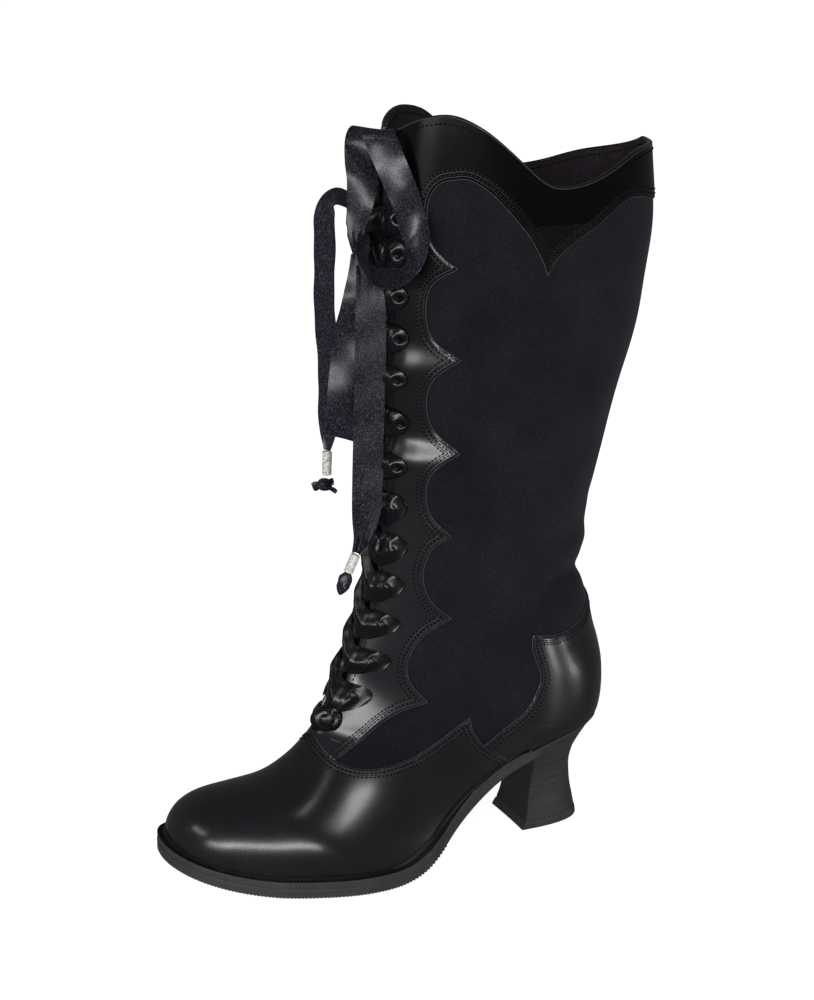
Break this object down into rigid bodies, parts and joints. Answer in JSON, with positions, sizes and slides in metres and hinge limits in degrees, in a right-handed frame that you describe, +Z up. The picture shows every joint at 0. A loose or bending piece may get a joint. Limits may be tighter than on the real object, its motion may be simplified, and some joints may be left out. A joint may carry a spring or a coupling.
{
  "type": "victorian boot",
  "caption": "Tall laced Victorian-style boot with a waisted stacked heel, rounded welted toe, scalloped leather panels and a satin ribbon tied in a bow at the top.",
  "frame": {"origin": "middle of the boot's box in plan, on the floor the sole stands on", "axes": "+Z up, -Y towards the toe, +X towards the outer (lateral) side of this left boot"},
  "size_m": [0.107, 0.2732, 0.3908],
  "materials": {
    "upper_leather": "suede shaft with glossy leather panels",
    "tongue_leather": "matte",
    "stacked_leather": "satin",
    "insole_board": "matte",
    "sole_rubber": "matte",
    "satin_ribbon": "satin",
    "ferrule_metal": "wire wrapped"
  },
  "bodies": {
    "root": {"outsole": "sole_rubber", "welt": "sole_rubber", "heel": "stacked_leather", "heel_top_piece": "sole_rubber", "insole": "insole_board", "upper": "upper_leather", "tongue": "tongue_leather", "lace_crossings": "satin_ribbon", "bow_knot": "satin_ribbon", "bow_loop_upper": "satin_ribbon", "bow_loop_hanging": "satin_ribbon", "tail_left": "satin_ribbon", "tail_front": "satin_ribbon", "ferrule_left": "ferrule_metal", "ferrule_front": "ferrule_metal", "end_knot_left": "satin_ribbon", "end_knot_front": "satin_ribbon"}
  },
  "joints": []
}
